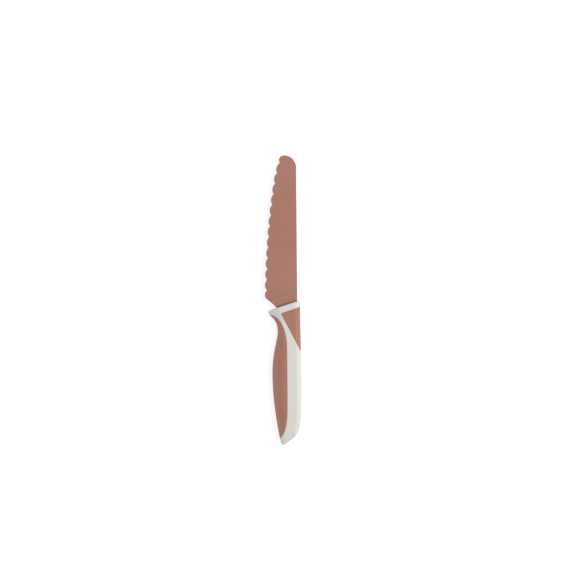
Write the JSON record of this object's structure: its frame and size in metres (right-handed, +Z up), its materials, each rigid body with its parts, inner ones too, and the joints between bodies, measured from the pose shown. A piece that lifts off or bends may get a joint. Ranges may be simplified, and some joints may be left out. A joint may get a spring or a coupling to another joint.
{
  "type": "kids kitchen knife",
  "caption": "Child's kitchen knife with a round-tipped, blunt wavy blade and a hard moulded handle carrying a soft belly grip and a soft thumb saddle.",
  "frame": {"origin": "middle of the knife's box, on the surface that it lies on", "axes": "+Z up through the knife's thickness as it lies on its side, +Y along the blade towards the tip, +X towards the spine"},
  "size_m": [0.0268, 0.2152, 0.015],
  "materials": {
    "blade_coating": "satin",
    "handle_plastic": "satin",
    "soft_grip": "matte"
  },
  "bodies": {
    "root": {"blade": "blade_coating", "handle_core": "handle_plastic", "belly_grip": "soft_grip", "thumb_saddle": "soft_grip"}
  },
  "joints": []
}
